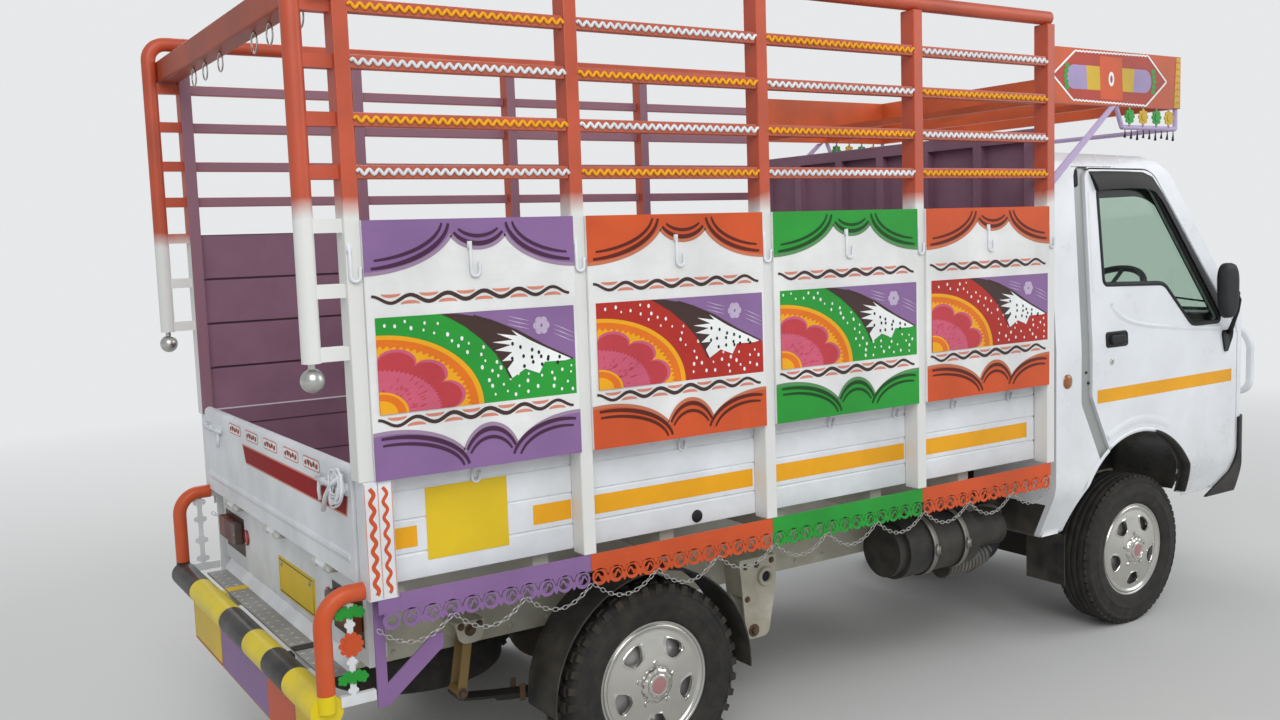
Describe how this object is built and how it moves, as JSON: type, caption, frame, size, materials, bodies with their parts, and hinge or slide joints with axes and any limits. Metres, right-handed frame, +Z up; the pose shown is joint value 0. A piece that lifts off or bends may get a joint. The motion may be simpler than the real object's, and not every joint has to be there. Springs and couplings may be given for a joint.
{
  "type": "decorated cargo truck",
  "caption": "Small cab-over cargo truck with a painted high side cage, opening doors and tailgate, steering and rolling wheels.",
  "frame": {"origin": "on the ground under the middle of the truck's overall length and width", "axes": "+X forward, +Y to the left, +Z up"},
  "size_m": [4.3225, 1.7806, 2.4089],
  "materials": {
    "white_paint": "gloss",
    "frame_grey": "satin, dusty",
    "dark_metal": "satin, dusty",
    "red_oxide_paint": "gloss, sprayed",
    "mauve_paint": "satin",
    "panel_paint": "gloss with painted ornament",
    "skirt_paint": "gloss, one colour a bay",
    "striped_paint": "gloss, yellow and black",
    "plate_paint": "gloss, blank",
    "bright_steel": "polished",
    "chain_white": "gloss",
    "wheel_chrome": "polished",
    "tyre": "worn",
    "glass": "clear",
    "black_plastic": "grained",
    "lamp_red": "ribbed lens",
    "lamp_clear": "clear lens",
    "seat_vinyl": "grained",
    "bare_iron": "oily and dusty"
  },
  "bodies": {
    "root": {"chassis_frame": "frame_grey", "cross_members": "frame_grey", "rear_springs": "dark_metal", "rear_axle": "bare_iron", "engine": "bare_iron", "exhaust": "dark_metal", "fuel_tank": "dark_metal", "air_cleaner": "black_plastic", "spare_wheel": "tyre", "front_suspension": "dark_metal", "cab_body": "white_paint", "cab_glass": "glass", "front_bumper": "black_plastic", "headlamps": "lamp_clear", "front_guard": "white_paint", "seats": "seat_vinyl", "dashboard": "black_plastic", "load_floor": "frame_grey", "tray_sides": "white_paint", "headboard": "mauve_paint", "corner_boards": "white_paint", "side_boards": "panel_paint", "cage_posts": "red_oxide_paint", "cage_rails": "red_oxide_paint", "ladder_tubes": "red_oxide_paint", "rear_beam": "red_oxide_paint", "cage_ornaments": "bright_steel", "crown_box": "skirt_paint", "side_skirts": "skirt_paint", "chain_swags": "chain_white", "rope_hooks": "white_paint", "rear_bumper": "striped_paint", "step_deck": "frame_grey", "rear_panel": "white_paint", "tail_lamps": "lamp_red", "rear_plates": "plate_paint", "hoop_ornaments": "skirt_paint", "mudguards": "black_plastic"},
    "door_right": {"door_right": "white_paint", "door_glass_right": "glass", "door_trim_right": "black_plastic"},
    "door_left": {"door_left": "white_paint", "door_glass_left": "glass", "door_trim_left": "black_plastic"},
    "tailgate": {"tailgate": "white_paint"},
    "knuckle_right": {"knuckle_right": "bare_iron"},
    "knuckle_left": {"knuckle_left": "bare_iron"},
    "steering_wheel": {"steering_wheel": "black_plastic"},
    "wheel_rl": {"tyre_rl": "tyre", "wheel_rl": "wheel_chrome"},
    "wheel_rr": {"tyre_rr": "tyre", "wheel_rr": "wheel_chrome"},
    "wheel_fl": {"tyre_fl": "tyre", "wheel_fl": "wheel_chrome"},
    "wheel_fr": {"tyre_fr": "tyre", "wheel_fr": "wheel_chrome"}
  },
  "joints": [
    {"name": "door_right_hinge", "type": "hinge", "parent": "root", "child": "door_right", "pos_m": [1.88725, -0.776, 1], "axis": [0, 0, 1], "range_deg": [0, 65]},
    {"name": "door_left_hinge", "type": "hinge", "parent": "root", "child": "door_left", "pos_m": [1.88725, 0.776, 1], "axis": [0, 0, -1], "range_deg": [0, 65]},
    {"name": "tailgate_hinge", "type": "hinge", "parent": "root", "child": "tailgate", "pos_m": [-2.00875, 0, 0.79], "axis": [0, -1, 0], "range_deg": [0, 90]},
    {"name": "steer_right", "type": "hinge", "parent": "root", "child": "knuckle_right", "pos_m": [1.28425, -0.6, 0.31], "axis": [0, 0, 1], "range_deg": [-30, 30]},
    {"name": "steer_left", "type": "hinge", "parent": "root", "child": "knuckle_left", "pos_m": [1.28425, 0.6, 0.31], "axis": [0, 0, 1], "range_deg": [-30, 30]},
    {"name": "steering_wheel_turn", "type": "hinge", "parent": "root", "child": "steering_wheel", "pos_m": [1.55125, -0.38, 1.35], "axis": [-0.5736, 0, 0.8192], "range_deg": [-480, 480]},
    {"name": "roll_rl", "type": "hinge", "parent": "root", "child": "wheel_rl", "pos_m": [-1.09575, 0.6625, 0.31], "axis": [0, 1, 0], "continuous": true},
    {"name": "roll_rr", "type": "hinge", "parent": "root", "child": "wheel_rr", "pos_m": [-1.09575, -0.6625, 0.31], "axis": [0, 1, 0], "continuous": true},
    {"name": "roll_fl", "type": "hinge", "parent": "knuckle_left", "child": "wheel_fl", "pos_m": [1.28425, 0.648, 0.31], "axis": [0, 1, 0], "continuous": true},
    {"name": "roll_fr", "type": "hinge", "parent": "knuckle_right", "child": "wheel_fr", "pos_m": [1.28425, -0.648, 0.31], "axis": [0, 1, 0], "continuous": true}
  ],
  "couplings": [
    {"joint": "steer_left", "follows": "steer_right", "ratio": 1},
    {"joint": "steering_wheel_turn", "follows": "steer_right", "ratio": 16}
  ]
}
